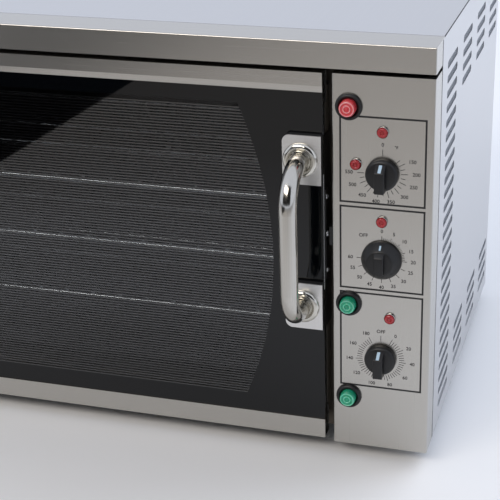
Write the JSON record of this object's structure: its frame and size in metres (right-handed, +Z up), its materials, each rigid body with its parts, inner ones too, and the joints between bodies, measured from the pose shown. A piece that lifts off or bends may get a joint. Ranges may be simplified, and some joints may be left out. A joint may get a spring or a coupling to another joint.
{
  "type": "electric convection oven",
  "caption": "Countertop electric convection oven: dark glass door hung at the left with a chrome bar handle, wire shelves, and a column of knobs, push buttons and pilot lamps at the right.",
  "frame": {"origin": "on the standing surface, under the middle of the whole oven's box", "axes": "+X to the right seen from the front, +Y to the back, +Z up"},
  "size_m": [0.85, 0.605, 0.544],
  "materials": {
    "brushed_stainless": "brushed",
    "casing_stainless": "satin",
    "galvanised_sheet": "dull",
    "dark_enamel": "gloss",
    "black_paint": "satin",
    "chrome_plate": "polished",
    "zinc_plate": "plated",
    "element_sheath": "dull",
    "cast_aluminium": "cast",
    "dark_glass": "gloss",
    "clear_glass": "gloss",
    "seal_rubber": "matt",
    "black_rubber": "matt",
    "black_plastic": "matt",
    "red_plastic": "gloss",
    "green_plastic": "gloss",
    "white_ceramic": "matt",
    "mineral_wool": "fibrous"
  },
  "bodies": {
    "casing": {"base_pan": "galvanised_sheet", "left_side_panel": "casing_stainless", "right_side_panel": "casing_stainless", "rear_panel": "galvanised_sheet", "rear_panel_screws": "zinc_plate", "top_cover": "casing_stainless", "top_fascia": "brushed_stainless", "control_panel": "brushed_stainless", "front_frame": "brushed_stainless", "compartment_wall": "galvanised_sheet", "feet": "black_rubber", "cavity_liner": "dark_enamel", "insulation_slabs": "mineral_wool", "fan_baffle": "dark_enamel", "fan_motor": "cast_aluminium", "ring_element": "element_sheath", "grill_element": "element_sheath", "shelf_guide_left": "chrome_plate", "shelf_guide_right": "chrome_plate", "lamp_holder": "zinc_plate", "lamp_bulb": "clear_glass", "lamp_glass": "clear_glass", "thermostat_probe": "zinc_plate", "door_gasket": "seal_rubber", "catch_strike": "black_paint", "hinge_brackets": "zinc_plate", "thermostat": "black_plastic", "bake_timer": "black_plastic", "cook_timer": "black_plastic", "button_bodies": "black_plastic", "pilot_lights": "red_plastic", "cable_gland": "black_plastic", "terminal_block": "white_ceramic"},
    "door": {"door_top_rail": "brushed_stainless", "door_bottom_rail": "brushed_stainless", "outer_glass": "dark_glass", "door_inner_frame": "black_paint", "inner_glass": "clear_glass", "latch_stile": "black_paint", "handle_plates": "brushed_stainless", "handle_spacers": "black_rubber", "handle_flanges": "chrome_plate", "handle_bolts": "zinc_plate", "handle_tube": "chrome_plate", "catch_body": "black_paint"},
    "catch_plunger": {"catch_ball": "zinc_plate"},
    "fan": {"fan_wheel": "cast_aluminium", "fan_shaft": "zinc_plate"},
    "temperature_control": {"temperature_knob": "black_plastic", "temperature_spindle": "zinc_plate"},
    "bake_control": {"bake_knob": "black_plastic", "bake_spindle": "zinc_plate"},
    "cook_control": {"cook_knob": "black_plastic", "cook_spindle": "zinc_plate"},
    "power_push": {"power_button": "red_plastic"},
    "hold_push": {"hold_button": "green_plastic"},
    "light_push": {"light_button": "green_plastic"},
    "lower_shelf": {"shelf_lower": "chrome_plate"},
    "middle_shelf": {"shelf_middle": "chrome_plate"},
    "upper_shelf": {"shelf_upper": "chrome_plate"}
  },
  "joints": [
    {"name": "door_hinge", "type": "hinge", "parent": "casing", "child": "door", "pos_m": [-0.403, -0.2145, 0.264], "axis": [0, 0, -1], "range_deg": [0, 115]},
    {"name": "catch_slide", "type": "slide", "parent": "door", "child": "catch_plunger", "axis": [-1, 0, 0], "range_m": [0, 0.004], "stiffness_N_per_m": 1500},
    {"name": "fan_spin", "type": "hinge", "parent": "casing", "child": "fan", "pos_m": [-0.0625, 0.19, 0.246], "axis": [0, 1, 0], "continuous": true},
    {"name": "temperature_turn", "type": "hinge", "parent": "casing", "child": "temperature_control", "pos_m": [0.365, -0.2265, 0.391], "axis": [0, 1, 0], "range_deg": [0, 270]},
    {"name": "bake_turn", "type": "hinge", "parent": "casing", "child": "bake_control", "pos_m": [0.365, -0.2265, 0.282], "axis": [0, 1, 0], "range_deg": [-35, 270]},
    {"name": "cook_turn", "type": "hinge", "parent": "casing", "child": "cook_control", "pos_m": [0.365, -0.2265, 0.148], "axis": [0, 1, 0], "range_deg": [0, 332]},
    {"name": "power_press", "type": "slide", "parent": "casing", "child": "power_push", "axis": [0, 1, 0], "range_m": [0, 0.0035], "stiffness_N_per_m": 500},
    {"name": "hold_press", "type": "slide", "parent": "casing", "child": "hold_push", "axis": [0, 1, 0], "range_m": [0, 0.0035], "stiffness_N_per_m": 500},
    {"name": "light_press", "type": "slide", "parent": "casing", "child": "light_push", "axis": [0, 1, 0], "range_m": [0, 0.0035], "stiffness_N_per_m": 500},
    {"name": "lower_shelf_slide", "type": "slide", "parent": "casing", "child": "lower_shelf", "axis": [0, -1, 0], "range_m": [0, 0.02]},
    {"name": "middle_shelf_slide", "type": "slide", "parent": "casing", "child": "middle_shelf", "axis": [0, -1, 0], "range_m": [0, 0.02]},
    {"name": "upper_shelf_slide", "type": "slide", "parent": "casing", "child": "upper_shelf", "axis": [0, -1, 0], "range_m": [0, 0.02]}
  ]
}
